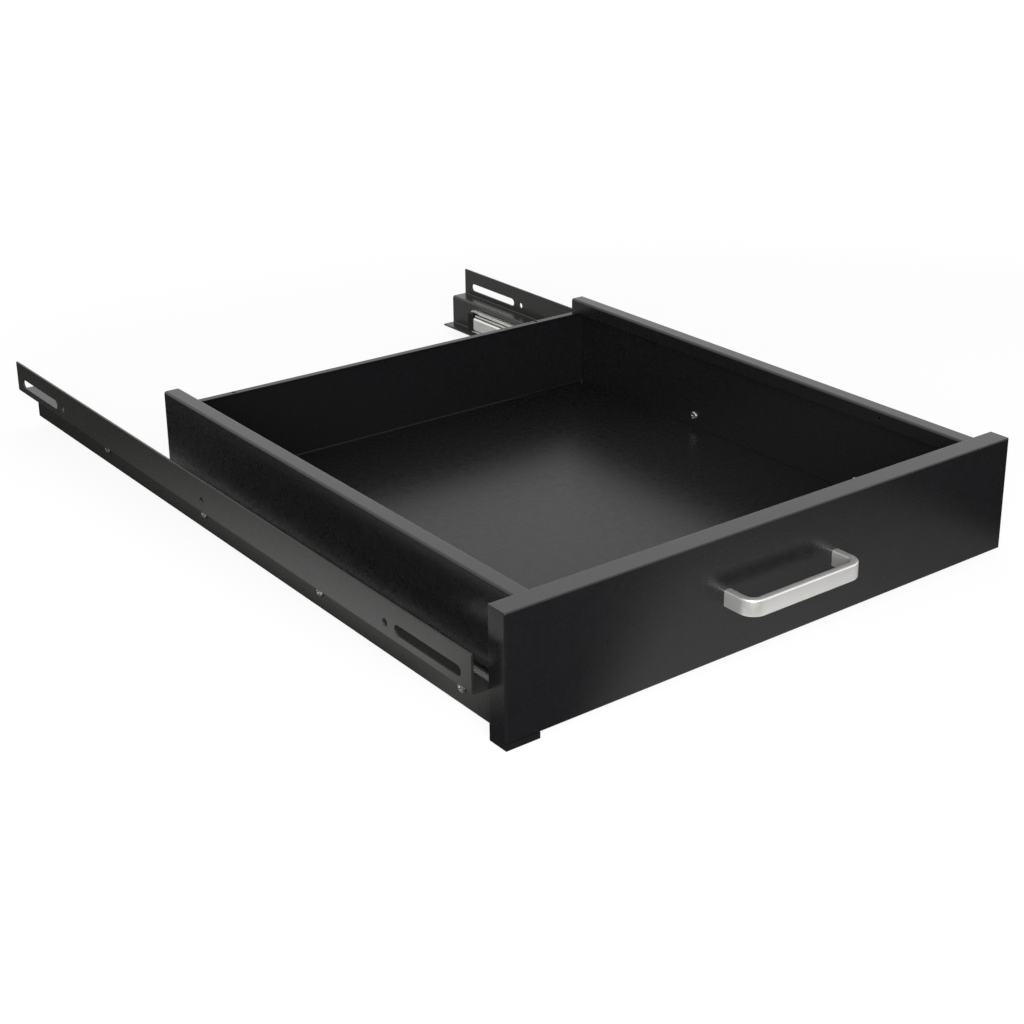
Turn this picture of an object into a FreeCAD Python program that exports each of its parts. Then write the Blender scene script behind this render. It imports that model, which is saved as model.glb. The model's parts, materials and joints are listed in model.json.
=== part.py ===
"""Two-unit sliding rack drawer on telescopic ball slides, in millimetres.

Frame: X runs across the rack with 0 midway between the two brackets, Y runs back from the
front ends of the brackets, and Z runs up from the lower edge of the front panel.
Sections are drawn for the right-hand side and mirrored for the left-hand side.
"""
import FreeCAD
import Part

import math
import os

V = FreeCAD.Vector

# --- Rack and overall sizes -----------------------------------------------------------------
RACK_WIDTH = 482.6            # over the outer faces of the two bracket plates (19 in)
PANEL_WIDTH = 459.0
PANEL_HEIGHT = 88.1           # two rack units less the usual gap
PANEL_DEPTH = 16.9
PANEL_TO_BRACKET = 1.0        # closed drawer: panel back to bracket front
BOX_WIDTH = 422.3             # over the outer faces of the side walls
BOX_DEPTH = 457.0

# --- Drawer sheet metal ---------------------------------------------------------------------
SHEET = 1.2
BEND_INSIDE = 0.8
RIM_WIDTH = 13.6              # flat top of each side wall
RIM_LIP = 12.2                # inner lip, turned down from the rim
WALL_FOOT = 14.0              # flange of each side wall under the floor
WALL_FOOT_Z = 4.1             # underside of that flange
WALL_FOOT_BEND = 0.2
WALL_TO_PAN = 0.3
END_WALL_DROP = 0.2           # end walls stop this far under the rim lips
END_WALL_RETURN = 7.5
CORNER_RELIEF_R = 2.0
FOOT_END_RELIEF = 5.0
RIM_HOLE_R = 1.6
RIM_HOLE_Y = 80.0
RETURN_HOLE_INSET = 57.0      # from the side wall's inner face

# --- Front panel, handle and pad ------------------------------------------------------------
PANEL_EDGE_R = 1.0
PANEL_FRAME_SIDE = 19.5       # back frame, measured in from the box's side walls
PANEL_FRAME_TOP = 13.0
PANEL_FRAME_BOTTOM = 14.0
PANEL_SCREW_INSET = 10.0      # from the side wall's inner face
PANEL_SCREW_LOW_Z = 22.0
PANEL_SCREW_HIGH_Z = 62.0
HANDLE_CENTRES = 100.0
HANDLE_BAR_THICK = 6.0
HANDLE_BAR_HEIGHT = 12.0
HANDLE_REACH = 25.8
HANDLE_INSIDE_R = 6.2
HANDLE_EDGE_BEVEL = 1.1
HANDLE_HOLE_DEPTH = 9.0
PAD_LENGTH = 26.0
PAD_HEIGHT = 5.0
PAD_EDGE_R = 1.2

# --- Brackets -------------------------------------------------------------------------------
BRACKET_LENGTH = 686.0
BRACKET_SHEET = 1.6
BRACKET_BOTTOM_Z = 2.3        # underside of the bottom flange
SHELF_UNDERSIDE_Z = 30.4
PLATE_TOP_Z = 57.6
FLANGE_TO_WALL = 1.0
SLOT_LENGTH = 73.0
SLOT_WIDTH = 7.5
SLOT_FROM_END = 47.5          # slot centre from either end of the bracket
SLOT_Z = 41.0
PLATE_HOLE_R = 2.75
PLATE_HOLE_FROM_END = 95.0

# --- Telescopic slides ----------------------------------------------------------------------
SLIDE_THICKNESS = 12.7
SLIDE_HEIGHT = 22.0
SLIDE_CENTRE_Z = 16.6
SLIDE_FRONT_Y = 8.0
SLIDE_REAR_INSET = 43.0       # bracket runs on behind the slide
SLIDE_SHEET = 1.2
FLANGE_GAP = 1.05             # between nested flanges
WEB_GAP = 1.0                 # between the outer and intermediate webs
OUTER_LIP_REACH = 8.0
INTERMEDIATE_REACH_GAP = 0.9  # intermediate flange ends short of the inner web
INNER_REACH_GAP = 0.85        # inner flange ends short of the inner cage's web
DRAWER_TRAVEL = 610.0
BALL_R = 1.0
RACE_CLEARANCE = 0.08
RACE_WALL = 0.8
OUTER_RACE_U = 5.6            # ball rows, measured in from the bracket's web
INNER_RACE_U = 8.2
CAGE_SHEET = 0.5
CAGE_LIP_U = 7.0              # outer cage strip ends here
INNER_CAGE_LIP_U = 9.8
CAGE_BALL_CLEARANCE = 0.1
CAGE_END_CLEARANCE = 0.3
BALLS_PER_ROW = 5
CAGE_END_MARGIN = 8.0
STOP_DIMPLE_R = 2.0
STOP_DIMPLE_INSET = 4.0
STOP_DIMPLE_HEIGHT = 0.7
BUMPER_CROWN = 10.5           # bumper's length at mid-height
BUMPER_SHOULDER = 5.0         # and at its upper and lower edges
BUMPER_CLEARANCE = 0.3
BUMPER_FACE_U = 11.7

# --- Disconnect levers ----------------------------------------------------------------------
LEVER_PIVOT_Y = 295.0
LEVER_THICKNESS = 2.3
LEVER_SIDE_GAP = 0.3
LEVER_BOSS_R = 3.4
LEVER_THUMB_LENGTH = 22.0
LEVER_THUMB_HEIGHT = 4.0
LEVER_ARM_TOP = 1.0           # heights about the slide's centre line
HOOK_BOTTOM = -4.4
HOOK_TOP = -1.4
HOOK_LENGTH = 4.0
HOOK_REACH_U = 5.4
HOOK_CLEARANCE = 0.3
STOP_TAB_LENGTH = 4.0
STOP_TAB_REACH_U = 8.3
STOP_TAB_BOTTOM = -4.6
STOP_TAB_TOP = -1.6
RIVET_R = 1.5
RIVET_HEAD_R = 2.5
RIVET_HEAD_HEIGHT = 0.6
RIVET_CLEARANCE = 0.15

# --- Screws ---------------------------------------------------------------------------------
SCREW_R = 2.0
SCREW_HOLE_R = 2.1
SCREW_HEAD_R = 3.9
SCREW_HEAD_HEIGHT = 2.0
SCREW_HEAD_RIM = 0.9          # height of the head's straight side
SCREW_CROWN_R = 2.3           # flat top of the head
SMALL_ROUND_SIDES = 12        # facets of small repeated rounds
BRACKET_SCREW_FIRST_Y = 32.5
BRACKET_SCREW_PITCH = 169.5
BRACKET_SCREW_COUNT = 4
WALL_SCREW_YS = (45.0, 110.0, 300.0)

# --- Faces that follow from the sizes above -------------------------------------------------
PANEL_BACK_Y = -PANEL_TO_BRACKET
PANEL_FRONT_Y = PANEL_BACK_Y - PANEL_DEPTH
BOX_BACK_Y = PANEL_BACK_Y + BOX_DEPTH
WALL_X = BOX_WIDTH / 2
WALL_INNER_X = WALL_X - SHEET
WEB_X = WALL_X + SLIDE_THICKNESS
PLATE_X = RACK_WIDTH / 2
RIM_LIP_Z = PANEL_HEIGHT - RIM_LIP
END_WALL_TOP_Z = RIM_LIP_Z - END_WALL_DROP
PAN_UNDERSIDE_Z = WALL_FOOT_Z + SHEET
FLOOR_Z = PAN_UNDERSIDE_Z + SHEET
PAN_HALF_WIDTH = WALL_INNER_X - WALL_TO_PAN
SLIDE_BACK_Y = BRACKET_LENGTH - SLIDE_REAR_INSET
MOVING_BACK_Y = SLIDE_BACK_Y - BUMPER_CROWN - BUMPER_CLEARANCE
STAGE_TRAVEL = DRAWER_TRAVEL / 2
OUTER_TOP = SLIDE_HEIGHT / 2
INTERMEDIATE_TOP = OUTER_TOP - SLIDE_SHEET - FLANGE_GAP
INNER_TOP = INTERMEDIATE_TOP - SLIDE_SHEET - FLANGE_GAP
OUTER_RACE_V = INTERMEDIATE_TOP + FLANGE_GAP / 2
INNER_RACE_V = INNER_TOP + FLANGE_GAP / 2
INTERMEDIATE_WEB_U = SLIDE_SHEET + WEB_GAP
INNER_WEB_U = SLIDE_THICKNESS - SLIDE_SHEET
OUTER_CAGE_WEB_U = SLIDE_SHEET + (WEB_GAP - CAGE_SHEET) / 2
INNER_CAGE_WEB_U = INTERMEDIATE_WEB_U + SLIDE_SHEET + (WEB_GAP - CAGE_SHEET) / 2
CAGE_FRONT_Y = SLIDE_FRONT_Y + STOP_DIMPLE_INSET + STOP_DIMPLE_R + CAGE_END_CLEARANCE + STAGE_TRAVEL / 2
CAGE_BACK_Y = MOVING_BACK_Y - STOP_DIMPLE_INSET - STOP_DIMPLE_R - CAGE_END_CLEARANCE - STAGE_TRAVEL / 2
LEVER_BACK_U = INNER_WEB_U - LEVER_SIDE_GAP
LEVER_FACE_U = LEVER_BACK_U - LEVER_THICKNESS
HOOK_FRONT_Y = SLIDE_FRONT_Y + STOP_TAB_LENGTH + HOOK_CLEARANCE + STAGE_TRAVEL


# --- Shape helpers --------------------------------------------------------------------------
def in_xz(y):
    """Places section points (x, z) in the plane at y."""
    return lambda a, b: V(a, y, b)


def in_yz(x):
    """Places section points (y, z) in the plane at x."""
    return lambda a, b: V(x, a, b)


def in_xy(z):
    """Places section points (x, y) in the plane at z."""
    return lambda a, b: V(a, b, z)


def folded_face(corners, sheet, inside_radius, place):
    """Section of a folded strip: a constant-thickness band along a mid-line, with round bends."""
    points = [V(a, b, 0) for a, b in corners]
    directions = [(q - p).normalize() for p, q in zip(points, points[1:])]
    normals = [V(-d.y, d.x, 0) for d in directions]
    middle_radius = inside_radius + sheet / 2
    edges = []
    ends = []
    for side in (1, -1):
        offset = side * sheet / 2
        start = points[0] + normals[0] * offset
        ends.append(start)
        for k in range(1, len(points) - 1):
            before, after = directions[k - 1], directions[k]
            turn = before.x * after.y - before.y * after.x
            sign = 1 if turn > 0 else -1
            half_angle = before.getAngle(after) / 2
            reach = middle_radius * math.tan(half_angle)
            entry = points[k] - before * reach
            leave = points[k] + after * reach
            centre = entry + normals[k - 1] * (sign * middle_radius)
            outward = (points[k] - centre).normalize()
            radius = middle_radius - sign * offset
            arc_start = entry + normals[k - 1] * offset
            arc_end = leave + normals[k] * offset
            edges.append((start, arc_start))
            edges.append((arc_start, centre + outward * radius, arc_end))
            start = arc_end
        finish = points[-1] + normals[-1] * offset
        edges.append((start, finish))
        ends.append(finish)
    edges.append((ends[0], ends[2]))
    edges.append((ends[1], ends[3]))
    shapes = []
    for edge in edges:
        placed = [place(p.x, p.y) for p in edge]
        curve = Part.Arc(*placed) if len(placed) == 3 else Part.LineSegment(*placed)
        shapes.append(curve.toShape())
    return Part.Face(Part.Wire(Part.__sortEdges__(shapes)))


def box(x0, x1, y0, y1, z0, z1):
    """Block between two opposite corners, given in any order along each axis."""
    low = V(min(x0, x1), min(y0, y1), min(z0, z1))
    return Part.makeBox(abs(x1 - x0), abs(y1 - y0), abs(z1 - z0), low)


def rod(start, direction, radius, length):
    """Round bar from a start point."""
    return Part.makeCylinder(radius, length, start, direction)


def small_rod(start, direction, radius, length):
    """Small round bar with flat facets, to keep what repeats light."""
    turn = FreeCAD.Rotation(V(0, 0, 1), direction)
    corners = []
    for k in range(SMALL_ROUND_SIDES + 1):
        angle = 2 * math.pi * k / SMALL_ROUND_SIDES
        corners.append(start + turn.multVec(V(radius * math.cos(angle), radius * math.sin(angle), 0)))
    return Part.Face(Part.makePolygon(corners)).extrude(direction * length)


def mirrored(shape):
    """The left-hand copy of a right-hand shape."""
    return shape.mirror(V(0, 0, 0), V(1, 0, 0))


def both_sides(solids):
    """The right-hand solids and their left-hand copies, as one group."""
    return Part.makeCompound(solids + [mirrored(s) for s in solids])


def pan_head_screw(seat, direction, shank_length):
    """Screw whose bevelled head stands on seat, with its shank running along direction."""
    back = direction.negative()
    shank = small_rod(seat, direction, SCREW_R, shank_length)
    rim = small_rod(seat, back, SCREW_HEAD_R, SCREW_HEAD_RIM)
    crown = small_rod(seat, back, SCREW_CROWN_R, SCREW_HEAD_HEIGHT)
    rim_wire = max(rim.Faces, key=lambda f: f.CenterOfMass.dot(back)).OuterWire
    crown_wire = max(crown.Faces, key=lambda f: f.CenterOfMass.dot(back)).OuterWire
    dome = Part.makeLoft([rim_wire, crown_wire], True, True)
    return shank.fuse([rim, dome]).removeSplitter()


# --- Drawer box -----------------------------------------------------------------------------
def side_wall():
    """Right side wall: foot flange, wall, flat rim and the lip turned down inside it."""
    half = SHEET / 2
    wall_x = WALL_X - half
    rim_z = PANEL_HEIGHT - half
    lip_x = WALL_X - RIM_WIDTH + half
    upper = [(wall_x, WALL_FOOT_Z), (wall_x, rim_z), (lip_x, rim_z), (lip_x, RIM_LIP_Z)]
    wall = folded_face(upper, SHEET, BEND_INSIDE, in_xz(PANEL_BACK_Y)).extrude(V(0, BOX_DEPTH, 0))
    wall = wall.cut(box(WALL_X, WALL_X - 2 * SHEET, PANEL_BACK_Y, BOX_BACK_Y, WALL_FOOT_Z, FLOOR_Z))
    foot_z = WALL_FOOT_Z + half
    corner = [(WALL_X - WALL_FOOT, foot_z), (wall_x, foot_z), (wall_x, FLOOR_Z)]
    foot = folded_face(corner, SHEET, WALL_FOOT_BEND, in_xz(PANEL_BACK_Y)).extrude(V(0, BOX_DEPTH, 0))
    for y in (PANEL_BACK_Y, BOX_BACK_Y - FOOT_END_RELIEF):
        foot = foot.cut(box(0, WALL_INNER_X, y, y + FOOT_END_RELIEF, 0, FLOOR_Z))
    wall = wall.fuse(foot).removeSplitter()
    rim_hole = V(0, RIM_HOLE_Y, PANEL_HEIGHT - RIM_LIP / 2)
    wall = wall.cut(small_rod(rim_hole, V(1, 0, 0), RIM_HOLE_R, WALL_INNER_X - SHEET))
    for y in WALL_SCREW_YS:
        wall = wall.cut(small_rod(V(0, y, SLIDE_CENTRE_Z), V(1, 0, 0), SCREW_HOLE_R, WALL_X + SHEET))
    return wall


def floor_pan():
    """Floor with the front and back walls folded up from it, each with a narrow top return."""
    half = SHEET / 2
    floor_z = PAN_UNDERSIDE_Z + half
    top_z = END_WALL_TOP_Z - half
    front_y = PANEL_BACK_Y + half
    back_y = BOX_BACK_Y - half
    corners = [
        (PANEL_BACK_Y + END_WALL_RETURN, top_z),
        (front_y, top_z),
        (front_y, floor_z),
        (back_y, floor_z),
        (back_y, top_z),
        (BOX_BACK_Y - END_WALL_RETURN, top_z),
    ]
    face = folded_face(corners, SHEET, BEND_INSIDE, in_yz(-PAN_HALF_WIDTH))
    pan = face.extrude(V(2 * PAN_HALF_WIDTH, 0, 0))
    for x in (-PAN_HALF_WIDTH, PAN_HALF_WIDTH):
        for y in (PANEL_BACK_Y + SHEET, BOX_BACK_Y - SHEET):
            pan = pan.cut(small_rod(V(x, y, 0), V(0, 0, 1), CORNER_RELIEF_R, FLOOR_Z + SHEET))
    return_hole_x = WALL_INNER_X - RETURN_HOLE_INSET
    for x in (-return_hole_x, return_hole_x):
        y = BOX_BACK_Y - END_WALL_RETURN / 2
        pan = pan.cut(small_rod(V(x, y, END_WALL_TOP_Z - 2 * SHEET), V(0, 0, 1), RIM_HOLE_R, 4 * SHEET))
    for x, z in panel_screw_places():
        pan = pan.cut(small_rod(V(x, PANEL_BACK_Y - SHEET, z), V(0, 1, 0), SCREW_HOLE_R, 3 * SHEET))
    return pan


# --- Front panel and what it carries --------------------------------------------------------
def panel_screw_places():
    """Where the four screws pass through the pan's front wall into the panel's back frame."""
    x = WALL_INNER_X - PANEL_SCREW_INSET
    return [(side * x, z) for side in (-1, 1) for z in (PANEL_SCREW_LOW_Z, PANEL_SCREW_HIGH_Z)]


def handle_screw_places():
    """Where the two handle screws pass through the front skin."""
    return [(side * HANDLE_CENTRES / 2, PANEL_HEIGHT / 2) for side in (-1, 1)]


def front_panel():
    """Hollow folded front: skin, returns on four sides and a frame round an open back."""
    half = PANEL_WIDTH / 2
    outer = box(-half, half, PANEL_FRONT_Y, PANEL_BACK_Y, 0, PANEL_HEIGHT)
    rims = [e for e in outer.Edges if e.BoundBox.YMax < PANEL_FRONT_Y + SHEET]
    outer = outer.makeFillet(PANEL_EDGE_R, rims)
    inside = half - SHEET
    cavity = box(-inside, inside, PANEL_FRONT_Y + SHEET, PANEL_BACK_Y - SHEET, SHEET, PANEL_HEIGHT - SHEET)
    window_x = WALL_INNER_X - PANEL_FRAME_SIDE
    window = box(-window_x, window_x, PANEL_BACK_Y - 2 * SHEET, PANEL_BACK_Y + SHEET,
                 PANEL_FRAME_BOTTOM, PANEL_HEIGHT - PANEL_FRAME_TOP)
    panel = outer.cut(cavity).cut(window)
    for x, z in panel_screw_places():
        panel = panel.cut(small_rod(V(x, PANEL_BACK_Y - 2 * SHEET, z), V(0, 1, 0), SCREW_HOLE_R, 3 * SHEET))
    for x, z in handle_screw_places():
        panel = panel.cut(small_rod(V(x, PANEL_FRONT_Y - SHEET, z), V(0, 1, 0), SCREW_HOLE_R, 3 * SHEET))
    return panel


def handle():
    """Bow handle of flat bar with bevelled edges, its legs bored for the screws."""
    x = HANDLE_CENTRES / 2
    grip_y = PANEL_FRONT_Y - HANDLE_REACH + HANDLE_BAR_THICK / 2
    path = [(-x, PANEL_FRONT_Y), (-x, grip_y), (x, grip_y), (x, PANEL_FRONT_Y)]
    low_z = (PANEL_HEIGHT - HANDLE_BAR_HEIGHT) / 2
    high_z = low_z + HANDLE_BAR_HEIGHT
    face = folded_face(path, HANDLE_BAR_THICK, HANDLE_INSIDE_R, in_xy(low_z))
    bar = face.extrude(V(0, 0, HANDLE_BAR_HEIGHT))
    long_edges = []
    for edge in bar.Edges:
        flat = edge.BoundBox.ZLength < 0.01
        at_end = edge.BoundBox.YMin > PANEL_FRONT_Y - 0.01
        at_rim = min(abs(edge.BoundBox.ZMin - low_z), abs(edge.BoundBox.ZMin - high_z)) < 0.01
        if flat and at_rim and not at_end:
            long_edges.append(edge)
    bar = bar.makeChamfer(HANDLE_EDGE_BEVEL, long_edges)
    for hole_x, z in handle_screw_places():
        bar = bar.cut(small_rod(V(hole_x, PANEL_FRONT_Y, z), V(0, -1, 0), SCREW_R, HANDLE_HOLE_DEPTH))
    return bar


def handle_screws():
    """Two screws with their heads inside the panel and their shanks in the handle's legs."""
    length = HANDLE_HOLE_DEPTH + SHEET
    seats = [V(x, PANEL_FRONT_Y + SHEET, z) for x, z in handle_screw_places()]
    return Part.makeCompound([pan_head_screw(seat, V(0, -1, 0), length) for seat in seats])


def panel_screws():
    """Four screws that hold the box to the panel, with their heads inside the drawer."""
    seats = [V(x, PANEL_BACK_Y + SHEET, z) for x, z in panel_screw_places()]
    return Part.makeCompound([pan_head_screw(seat, V(0, -1, 0), 3 * SHEET) for seat in seats])


def corner_pad():
    """Rubber pad under the left end of the panel."""
    x = -PANEL_WIDTH / 2
    pad = box(x, x + PAD_LENGTH, PANEL_FRONT_Y, PANEL_BACK_Y, -PAD_HEIGHT, 0)
    lower = [e for e in pad.Edges if e.BoundBox.ZMax < -PAD_HEIGHT / 2]
    return pad.makeFillet(PAD_EDGE_R, lower)


# --- Brackets -------------------------------------------------------------------------------
def bracket_screw_ys():
    return [BRACKET_SCREW_FIRST_Y + k * BRACKET_SCREW_PITCH for k in range(BRACKET_SCREW_COUNT)]


def bracket():
    """Right bracket: slotted plate, shelf inward, web down behind the slide, flange under it."""
    half = BRACKET_SHEET / 2
    plate_x = PLATE_X - half
    web_x = WEB_X + half
    corners = [
        (plate_x, PLATE_TOP_Z),
        (plate_x, SHELF_UNDERSIDE_Z + half),
        (web_x, SHELF_UNDERSIDE_Z + half),
        (web_x, BRACKET_BOTTOM_Z + half),
        (WALL_X + FLANGE_TO_WALL, BRACKET_BOTTOM_Z + half),
    ]
    body = folded_face(corners, BRACKET_SHEET, BEND_INSIDE, in_xz(0)).extrude(V(0, BRACKET_LENGTH, 0))
    inside_x = PLATE_X - 2 * BRACKET_SHEET
    depth = 3 * BRACKET_SHEET
    straight = (SLOT_LENGTH - SLOT_WIDTH) / 2
    for centre_y in (SLOT_FROM_END, BRACKET_LENGTH - SLOT_FROM_END):
        body = body.cut(box(inside_x, inside_x + depth, centre_y - straight, centre_y + straight,
                            SLOT_Z - SLOT_WIDTH / 2, SLOT_Z + SLOT_WIDTH / 2))
        for y in (centre_y - straight, centre_y + straight):
            body = body.cut(rod(V(inside_x, y, SLOT_Z), V(1, 0, 0), SLOT_WIDTH / 2, depth))
    for y in (PLATE_HOLE_FROM_END, BRACKET_LENGTH / 2, BRACKET_LENGTH - PLATE_HOLE_FROM_END):
        body = body.cut(rod(V(inside_x, y, SLOT_Z), V(1, 0, 0), PLATE_HOLE_R, depth))
    for y in bracket_screw_ys():
        start = V(WEB_X - BRACKET_SHEET, y, SLIDE_CENTRE_Z)
        body = body.cut(small_rod(start, V(1, 0, 0), SCREW_HOLE_R, depth))
    return body


# --- Slide members --------------------------------------------------------------------------
def at_slide(u, v):
    """Section point (x, z) from u, in from the bracket's web, and v, up from the slide's centre."""
    return WEB_X - u, SLIDE_CENTRE_Z + v


def channel(web_u, edge_u, top, sheet, front_y, back_y, bend_inside):
    """Channel with its web at web_u and two flanges that reach to edge_u, top above the centre."""
    inward = 1 if edge_u > web_u else -1
    web = web_u + inward * sheet / 2
    rise = top - sheet / 2
    path = [at_slide(edge_u, rise), at_slide(web, rise), at_slide(web, -rise), at_slide(edge_u, -rise)]
    face = folded_face(path, sheet, bend_inside, in_xz(front_y))
    return face.extrude(V(0, back_y - front_y, 0))


def race_rods(u, v, radius, front_y, back_y):
    """Round bars along the two ball rows at (u, v) and (u, -v)."""
    rods = []
    for height in (v, -v):
        x, z = at_slide(u, height)
        rods.append(rod(V(x, front_y, z), V(0, 1, 0), radius, back_y - front_y))
    return rods


def slab(u0, u1, v0, v1, y0, y1):
    """Block in the slide's own coordinates."""
    (xa, za), (xb, zb) = at_slide(u0, v0), at_slide(u1, v1)
    return box(xa, xb, y0, y1, za, zb)


def swell(member, u, v, inner_v, outer_v, front_y, back_y):
    """Adds the rounded back of a rolled ball race between two heights, above and below centre."""
    reach = BALL_R + RACE_WALL
    for bar, sign in zip(race_rods(u, v, reach, front_y, back_y), (1, -1)):
        keep = slab(u - reach, u + reach, sign * inner_v, sign * outer_v, front_y, back_y)
        member = member.fuse(bar.common(keep))
    return member


def grooved(member, u, v, front_y, back_y):
    """Cuts the ball races at (u, v) and (u, -v)."""
    for bar in race_rods(u, v, BALL_R + RACE_CLEARANCE, front_y, back_y):
        member = member.cut(bar)
    return member


def stop_dimple(u, y, direction):
    """Pressed stop on a web face at u, standing into the gap between two webs."""
    x, z = at_slide(u, 0)
    return small_rod(V(x, y, z), V(direction, 0, 0), STOP_DIMPLE_R, STOP_DIMPLE_HEIGHT)


def outer_member():
    """Right outer member, fixed to the bracket, with one ball race in each flange."""
    front, back = SLIDE_FRONT_Y, SLIDE_BACK_Y
    member = channel(0, OUTER_LIP_REACH, OUTER_TOP, SLIDE_SHEET, front, back, BEND_INSIDE)
    member = swell(member, OUTER_RACE_U, OUTER_RACE_V, OUTER_TOP - SLIDE_SHEET, 2 * OUTER_TOP, front, back)
    member = grooved(member, OUTER_RACE_U, OUTER_RACE_V, front, back)
    member = member.fuse(stop_dimple(SLIDE_SHEET, front + STOP_DIMPLE_INSET, -1))
    for y in bracket_screw_ys():
        member = member.cut(small_rod(V(WEB_X, y, SLIDE_CENTRE_Z), V(-1, 0, 0), SCREW_HOLE_R, SLIDE_SHEET))
    return member.removeSplitter()


def intermediate_member():
    """Right intermediate member: races outside and inside each flange, and the stop tab."""
    front, back = SLIDE_FRONT_Y, MOVING_BACK_Y
    inside = INTERMEDIATE_TOP - SLIDE_SHEET
    edge_u = INNER_WEB_U - INTERMEDIATE_REACH_GAP
    member = channel(INTERMEDIATE_WEB_U, edge_u, INTERMEDIATE_TOP, SLIDE_SHEET, front, back, BEND_INSIDE)
    member = swell(member, OUTER_RACE_U, OUTER_RACE_V, 0, INTERMEDIATE_TOP, front, back)
    member = swell(member, INNER_RACE_U, INNER_RACE_V, inside, 2 * OUTER_TOP, front, back)
    member = grooved(member, OUTER_RACE_U, OUTER_RACE_V, front, back)
    member = grooved(member, INNER_RACE_U, INNER_RACE_V, front, back)
    member = member.fuse(stop_dimple(INTERMEDIATE_WEB_U, back - STOP_DIMPLE_INSET, 1))
    web_face_u = INTERMEDIATE_WEB_U + SLIDE_SHEET
    tab = slab(web_face_u - SLIDE_SHEET / 2, STOP_TAB_REACH_U, STOP_TAB_BOTTOM, STOP_TAB_TOP,
               front, front + STOP_TAB_LENGTH)
    return member.fuse(tab).removeSplitter()


def inner_member():
    """Right inner member, fixed to the drawer's wall and open towards the bracket."""
    front, back = SLIDE_FRONT_Y, MOVING_BACK_Y
    edge_u = INNER_CAGE_WEB_U + CAGE_SHEET + INNER_REACH_GAP
    member = channel(SLIDE_THICKNESS, edge_u, INNER_TOP, SLIDE_SHEET, front, back, BEND_INSIDE)
    member = swell(member, INNER_RACE_U, INNER_RACE_V, 0, INNER_TOP, front, back)
    member = grooved(member, INNER_RACE_U, INNER_RACE_V, front, back)
    for y in WALL_SCREW_YS:
        member = member.cut(small_rod(V(WALL_X, y, SLIDE_CENTRE_Z), V(1, 0, 0), SCREW_HOLE_R, SLIDE_SHEET))
    member = member.cut(small_rod(V(WALL_X, LEVER_PIVOT_Y, SLIDE_CENTRE_Z), V(1, 0, 0), RIVET_R, SLIDE_SHEET))
    return member.removeSplitter()


# --- Ball cages -----------------------------------------------------------------------------
def ball_ys():
    first = CAGE_FRONT_Y + CAGE_END_MARGIN
    pitch = (CAGE_BACK_Y - CAGE_FRONT_Y - 2 * CAGE_END_MARGIN) / (BALLS_PER_ROW - 1)
    return [first + k * pitch for k in range(BALLS_PER_ROW)]


def ball_cage(web_u, lip_u, race_u, race_v):
    """Right ball cage: a thin channel with a window for each ball."""
    top = race_v + CAGE_SHEET / 2
    cage = channel(web_u, lip_u, top, CAGE_SHEET, CAGE_FRONT_Y, CAGE_BACK_Y, CAGE_SHEET / 2)
    reach = BALL_R + CAGE_BALL_CLEARANCE
    for y in ball_ys():
        cage = cage.cut(slab(race_u - reach, race_u + reach, -2 * race_v, 2 * race_v, y - reach, y + reach))
    return cage


def faceted_ball():
    """Ball with flat facets: a cube in common with copies of it turned 45 degrees about each axis."""
    flat = BALL_R / math.sqrt(1.5)
    cube = box(-flat, flat, -flat, flat, -flat, flat)
    ball = cube
    for axis in (V(1, 0, 0), V(0, 1, 0), V(0, 0, 1)):
        turned = cube.copy()
        turned.rotate(V(0, 0, 0), axis, 45)
        ball = ball.common(turned)
    return ball


def balls(race_u, race_v):
    """The balls of one cage, above and below, as separate solids."""
    pattern = faceted_ball()
    solids = []
    for y in ball_ys():
        for v in (race_v, -race_v):
            x, z = at_slide(race_u, v)
            ball = pattern.copy()
            ball.translate(V(x, y, z))
            solids.append(ball)
    return Part.makeCompound(solids)


def outer_cage():
    return ball_cage(OUTER_CAGE_WEB_U, CAGE_LIP_U, OUTER_RACE_U, OUTER_RACE_V)


def inner_cage():
    return ball_cage(INNER_CAGE_WEB_U, INNER_CAGE_LIP_U, INNER_RACE_U, INNER_RACE_V)


# --- Stops, levers and screws ---------------------------------------------------------------
def rear_bumper():
    """Right closing bumper: fills the outer member's rear end, with a crowned front."""
    rise = OUTER_TOP - SLIDE_SHEET - BEND_INSIDE
    shoulder_y = SLIDE_BACK_Y - BUMPER_SHOULDER
    x, z = at_slide(BUMPER_FACE_U, 0)
    upper, lower = V(x, shoulder_y, z + rise), V(x, shoulder_y, z - rise)
    upper_end, lower_end = V(x, SLIDE_BACK_Y, z + rise), V(x, SLIDE_BACK_Y, z - rise)
    outline = [
        Part.LineSegment(lower_end, upper_end),
        Part.LineSegment(upper_end, upper),
        Part.Arc(upper, V(x, SLIDE_BACK_Y - BUMPER_CROWN, z), lower),
        Part.LineSegment(lower, lower_end),
    ]
    face = Part.Face(Part.Wire([curve.toShape() for curve in outline]))
    return face.extrude(V(BUMPER_FACE_U - SLIDE_SHEET, 0, 0))


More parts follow.
